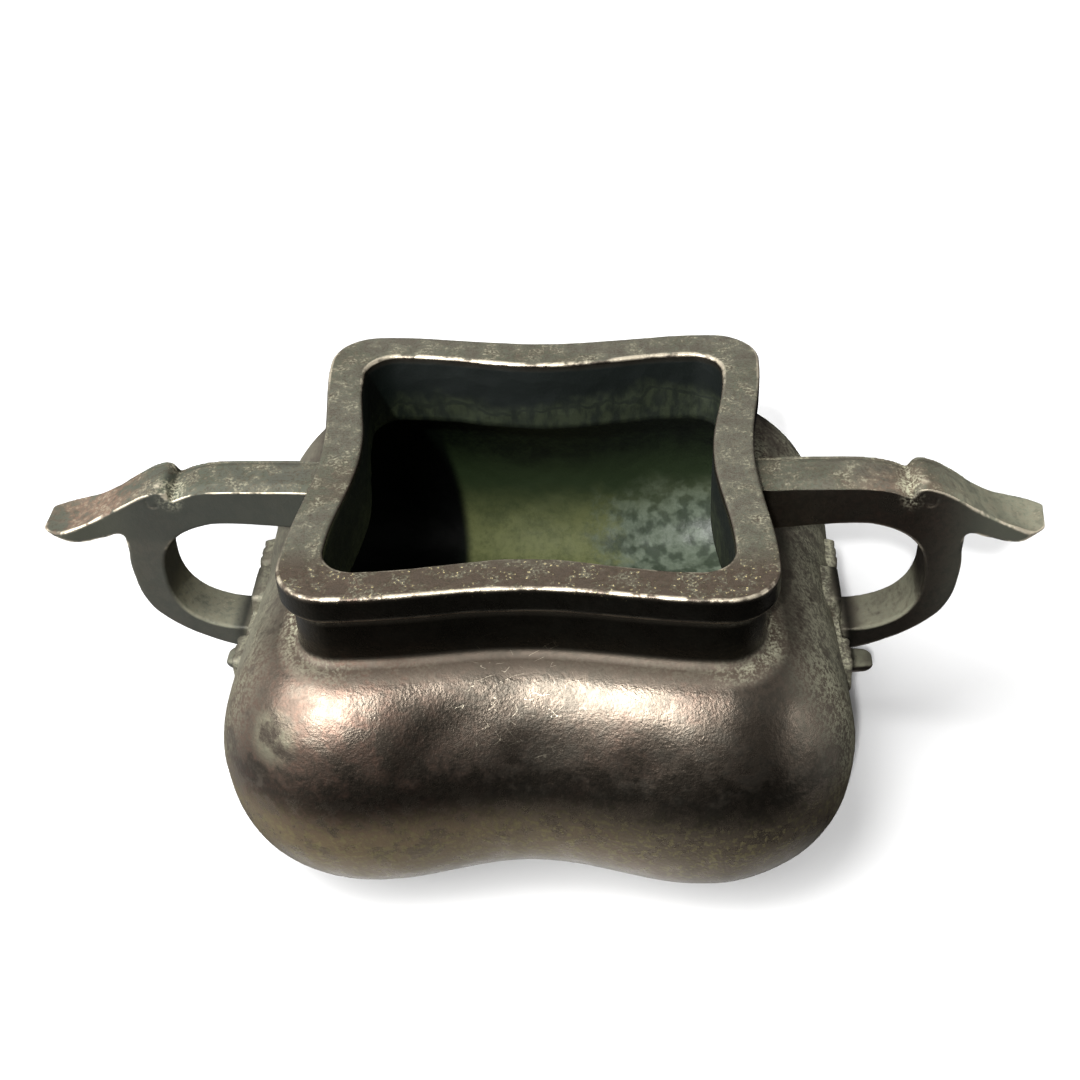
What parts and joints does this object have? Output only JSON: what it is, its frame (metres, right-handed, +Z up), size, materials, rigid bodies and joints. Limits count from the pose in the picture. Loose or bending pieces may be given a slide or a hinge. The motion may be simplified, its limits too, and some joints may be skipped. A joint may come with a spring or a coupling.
{
  "type": "bronze incense burner",
  "caption": "Squat square lobed bronze incense burner with an open mouth, a flat band rim, a low hollow foot and two looped beast handles, cast in one piece.",
  "frame": {"origin": "under the middle of the foot, on the surface that it stands on", "axes": "+X towards the right handle, -Y towards the front, +Z up"},
  "size_m": [0.204, 0.118, 0.072],
  "materials": {
    "bronze": "dark brown patinated cast bronze, semi-matt, with grey-green dust on its upper faces and worn bright edges"
  },
  "bodies": {
    "root": {"censer": "bronze"}
  },
  "joints": []
}
